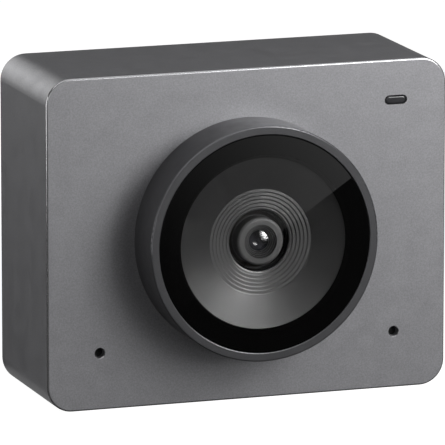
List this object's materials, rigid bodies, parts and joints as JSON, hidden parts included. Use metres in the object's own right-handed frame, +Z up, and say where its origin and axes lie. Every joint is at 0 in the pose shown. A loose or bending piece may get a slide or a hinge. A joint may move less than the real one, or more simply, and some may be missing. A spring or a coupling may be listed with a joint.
{
  "type": "webcam",
  "caption": "Compact webcam: a metal box body with a round fixed lens housing, an autofocus module inside, a status light, a USB-C socket and a tripod thread.",
  "frame": {"origin": "on the base, centred left to right, and half way between the lens rim and the back edge", "axes": "+X to the right when facing the lens, +Y from the lens towards the back, +Z up"},
  "size_m": [0.06, 0.0296, 0.048],
  "materials": {
    "shell_metal": "bead-blasted and anodised grey, satin",
    "cover_plastic": "fine moulded texture, dark grey",
    "screw_steel": "blackened steel",
    "housing_metal": "bead-blasted and anodised dark grey, satin",
    "cover_glass": "clear and polished",
    "mask_black": "black print under the glass",
    "baffle_plastic": "satin black with fine turned rings",
    "soft_foam": "open foam",
    "lens_glass": "coated optical glass",
    "barrel_plastic": "satin black",
    "carrier_plastic": "matt black moulding",
    "coil_copper": "enamelled copper wire",
    "magnet_metal": "nickel plated",
    "spring_metal": "thin rolled copper alloy",
    "can_steel": "tinned sheet",
    "filter_glass": "coated, faint blue-green",
    "sensor_face": "dark glass over silicon",
    "circuit_board": "green solder mask",
    "bracket_metal": "plain milled",
    "connector_plastic": "moulded black",
    "flex_film": "amber film over copper",
    "chip_plastic": "moulded black package",
    "pad_rubber": "soft silicone",
    "heat_sink_metal": "extruded",
    "capacitor_ceramic": "tan ceramic",
    "socket_steel": "nickel-plated steel",
    "guide_plastic": "smoked clear moulding",
    "lamp_plastic": "translucent lamp body",
    "mesh_steel": "fine black mesh",
    "insert_metal": "machined stainless"
  },
  "bodies": {
    "camera_body": {"actuator_base": "carrier_plastic", "actuator_can": "can_steel", "actuator_magnets": "magnet_metal", "board_capacitors": "capacitor_ceramic", "clock_crystal": "can_steel", "cover_glass": "cover_glass", "dust_seal": "soft_foam", "flash_chip": "chip_plastic", "flex_connectors": "connector_plastic", "front_leaf_spring": "spring_metal", "front_shell": "shell_metal", "glass_mask": "mask_black", "heat_sink": "heat_sink_metal", "heat_sink_screws": "screw_steel", "image_processor": "chip_plastic", "image_sensor": "sensor_face", "infrared_filter": "filter_glass", "lens_bracket": "bracket_metal", "lens_housing": "housing_metal", "lens_housing_screws": "screw_steel", "light_baffle": "baffle_plastic", "main_board": "circuit_board", "main_board_screws": "screw_steel", "memory_chip": "chip_plastic", "microphone_boards": "circuit_board", "microphone_connectors": "connector_plastic", "microphone_leads": "flex_film", "microphone_meshes": "mesh_steel", "microphone_seals": "pad_rubber", "microphones": "can_steel", "power_inductors": "chip_plastic", "rear_cover": "cover_plastic", "rear_cover_screws": "screw_steel", "rear_leaf_spring": "spring_metal", "sensor_board": "circuit_board", "sensor_board_screws": "screw_steel", "sensor_flex": "flex_film", "shield_can": "can_steel", "spring_clamp": "carrier_plastic", "status_lamp": "lamp_plastic", "status_light_guide": "guide_plastic", "thermal_pad": "pad_rubber", "tripod_insert": "insert_metal", "usb_c_shell": "socket_steel", "usb_c_tongue": "connector_plastic"},
    "focus_carriage": {"focus_coil": "coil_copper", "front_lens": "lens_glass", "lens_barrel": "barrel_plastic", "lens_carrier": "carrier_plastic", "lens_retainer": "barrel_plastic", "lens_spacers": "barrel_plastic", "rear_lens": "lens_glass", "second_lens": "lens_glass", "third_lens": "lens_glass"}
  },
  "joints": [
    {"name": "focus_slide", "type": "slide", "parent": "camera_body", "child": "focus_carriage", "axis": [0, -1, 0], "range_m": [0, 0.0003], "stiffness_N_per_m": 100, "deforming": ["front_leaf_spring", "rear_leaf_spring"]}
  ]
}
